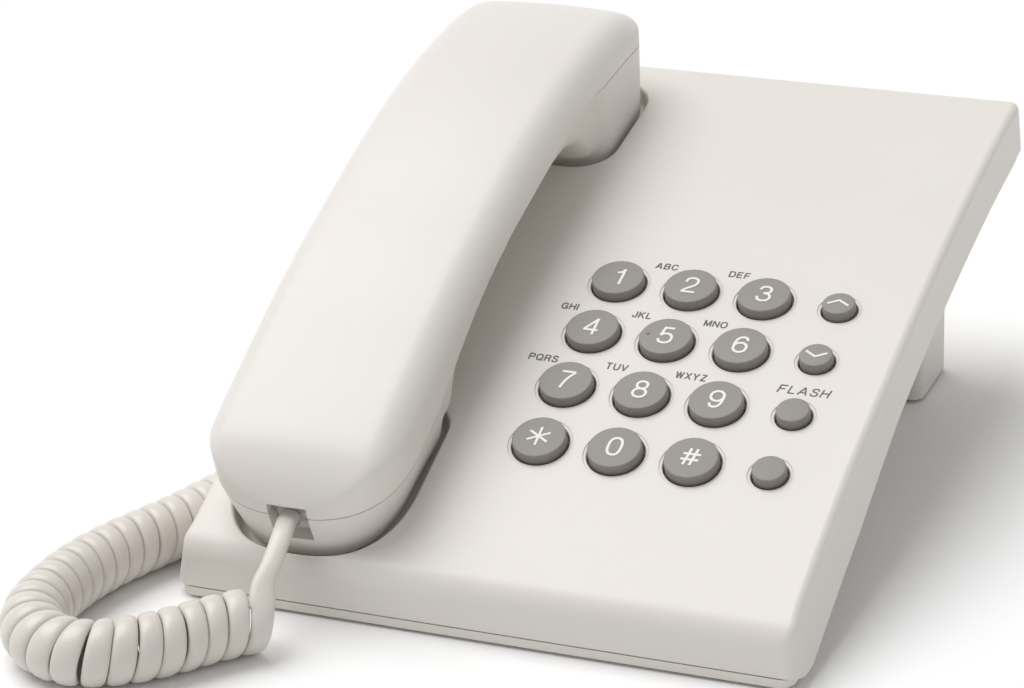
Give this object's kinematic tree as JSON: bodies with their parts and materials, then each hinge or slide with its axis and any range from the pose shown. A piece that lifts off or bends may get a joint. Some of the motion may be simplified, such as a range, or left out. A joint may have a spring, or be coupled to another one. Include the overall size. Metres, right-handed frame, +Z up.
{
  "type": "corded telephone",
  "caption": "Corded desk telephone with a round-key dial pad on a thin curved base, a handset in two cradle pockets, a curly cord and a rear stand.",
  "frame": {"origin": "on the table, under the middle of the base as seen from above; the cord is left out", "axes": "+Z up, +Y from the front edge to the rear edge, +X to the right as seen from the front, where the user sits"},
  "size_m": [0.1781, 0.2432, 0.0939],
  "materials": {
    "casing_white": "fine satin moulding",
    "cord_white": "smooth extruded jacket",
    "key_grey": "satin",
    "mat_grey": "matt silicone",
    "rubber_black": "matt",
    "board_green": "lacquered laminate",
    "steel": "plated",
    "plastic_black": "matt",
    "clear_plastic": "clear, polished"
  },
  "bodies": {
    "base": {"base_top_shell": "casing_white", "base_bottom_cover": "casing_white", "hook_switch": "plastic_black", "hook_spring": "steel", "keypad_mat": "mat_grey", "main_board": "board_green", "board_screw_1": "steel", "board_screw_2": "steel", "base_screw_1": "steel", "base_screw_2": "steel", "base_screw_3": "steel", "base_screw_4": "steel", "ringer_sounder": "plastic_black", "line_jack": "plastic_black", "base_cord_jack": "plastic_black", "ringer_switch": "plastic_black", "desk_stand": "casing_white", "front_foot_left": "rubber_black", "front_foot_right": "rubber_black", "stand_foot_left": "rubber_black", "stand_foot_right": "rubber_black", "base_plug": "clear_plastic", "cord_coil": "cord_white", "cord_lead_base": "cord_white", "cord_lead_handset": "cord_white"},
    "handset": {"handset_inner_shell": "casing_white", "handset_outer_shell": "casing_white", "handset_screw_1": "steel", "handset_screw_2": "steel", "handset_cord_jack": "plastic_black", "microphone_boot": "rubber_black", "microphone": "steel", "receiver_gasket": "rubber_black", "receiver_capsule": "plastic_black", "handset_weight": "steel", "handset_plug": "clear_plastic"},
    "hook_plunger": {"hook_plunger": "plastic_black"},
    "ringer_knob": {"ringer_knob": "key_grey"},
    "key_star": {"key_star": "key_grey"},
    "key_0": {"key_0": "key_grey"},
    "key_hash": {"key_hash": "key_grey"},
    "key_redial": {"key_redial": "key_grey"},
    "key_7": {"key_7": "key_grey"},
    "key_8": {"key_8": "key_grey"},
    "key_9": {"key_9": "key_grey"},
    "key_flash": {"key_flash": "key_grey"},
    "key_4": {"key_4": "key_grey"},
    "key_5": {"key_5": "key_grey"},
    "key_6": {"key_6": "key_grey"},
    "key_down": {"key_down": "key_grey"},
    "key_1": {"key_1": "key_grey"},
    "key_2": {"key_2": "key_grey"},
    "key_3": {"key_3": "key_grey"},
    "key_up": {"key_up": "key_grey"}
  },
  "joints": [
    {"name": "handset_lift", "type": "slide", "parent": "base", "child": "handset", "axis": [0, -0.2872, 0.9579], "range_m": [0, 0.04], "deforming": ["cord_lead_handset"]},
    {"name": "hook_press", "type": "slide", "parent": "base", "child": "hook_plunger", "axis": [0, 0, 1], "range_m": [0, 0.0025], "stiffness_N_per_m": 80, "springref_m": 0.005, "deforming": ["hook_spring"]},
    {"name": "ringer_slide", "type": "slide", "parent": "base", "child": "ringer_knob", "axis": [1, 0, 0], "range_m": [-0.003, 0.003]},
    {"name": "key_star_press", "type": "slide", "parent": "base", "child": "key_star", "axis": [0, -0.3657, 0.9307], "range_m": [-0.0016, 0], "stiffness_N_per_m": 500, "springref_m": 0.001},
    {"name": "key_0_press", "type": "slide", "parent": "base", "child": "key_0", "axis": [0, -0.3657, 0.9307], "range_m": [-0.0016, 0], "stiffness_N_per_m": 500, "springref_m": 0.001},
    {"name": "key_hash_press", "type": "slide", "parent": "base", "child": "key_hash", "axis": [0, -0.3657, 0.9307], "range_m": [-0.0016, 0], "stiffness_N_per_m": 500, "springref_m": 0.001},
    {"name": "key_redial_press", "type": "slide", "parent": "base", "child": "key_redial", "axis": [0, -0.3657, 0.9307], "range_m": [-0.0016, 0], "stiffness_N_per_m": 500, "springref_m": 0.001},
    {"name": "key_7_press", "type": "slide", "parent": "base", "child": "key_7", "axis": [0, -0.3392, 0.9407], "range_m": [-0.0016, 0], "stiffness_N_per_m": 500, "springref_m": 0.001},
    {"name": "key_8_press", "type": "slide", "parent": "base", "child": "key_8", "axis": [0, -0.3392, 0.9407], "range_m": [-0.0016, 0], "stiffness_N_per_m": 500, "springref_m": 0.001},
    {"name": "key_9_press", "type": "slide", "parent": "base", "child": "key_9", "axis": [0, -0.3392, 0.9407], "range_m": [-0.0016, 0], "stiffness_N_per_m": 500, "springref_m": 0.001},
    {"name": "key_flash_press", "type": "slide", "parent": "base", "child": "key_flash", "axis": [0, -0.3392, 0.9407], "range_m": [-0.0016, 0], "stiffness_N_per_m": 500, "springref_m": 0.001},
    {"name": "key_4_press", "type": "slide", "parent": "base", "child": "key_4", "axis": [0, -0.3124, 0.95], "range_m": [-0.0016, 0], "stiffness_N_per_m": 500, "springref_m": 0.001},
    {"name": "key_5_press", "type": "slide", "parent": "base", "child": "key_5", "axis": [0, -0.3124, 0.95], "range_m": [-0.0016, 0], "stiffness_N_per_m": 500, "springref_m": 0.001},
    {"name": "key_6_press", "type": "slide", "parent": "base", "child": "key_6", "axis": [0, -0.3124, 0.95], "range_m": [-0.0016, 0], "stiffness_N_per_m": 500, "springref_m": 0.001},
    {"name": "key_down_press", "type": "slide", "parent": "base", "child": "key_down", "axis": [0, -0.3124, 0.95], "range_m": [-0.0016, 0], "stiffness_N_per_m": 500, "springref_m": 0.001},
    {"name": "key_1_press", "type": "slide", "parent": "base", "child": "key_1", "axis": [0, -0.2854, 0.9584], "range_m": [-0.0016, 0], "stiffness_N_per_m": 500, "springref_m": 0.001},
    {"name": "key_2_press", "type": "slide", "parent": "base", "child": "key_2", "axis": [0, -0.2854, 0.9584], "range_m": [-0.0016, 0], "stiffness_N_per_m": 500, "springref_m": 0.001},
    {"name": "key_3_press", "type": "slide", "parent": "base", "child": "key_3", "axis": [0, -0.2854, 0.9584], "range_m": [-0.0016, 0], "stiffness_N_per_m": 500, "springref_m": 0.001},
    {"name": "key_up_press", "type": "slide", "parent": "base", "child": "key_up", "axis": [0, -0.2854, 0.9584], "range_m": [-0.0016, 0], "stiffness_N_per_m": 500, "springref_m": 0.001}
  ],
  "couplings": [
    {"joint": "hook_press", "follows": "handset_lift", "ratio": 0.0625}
  ]
}
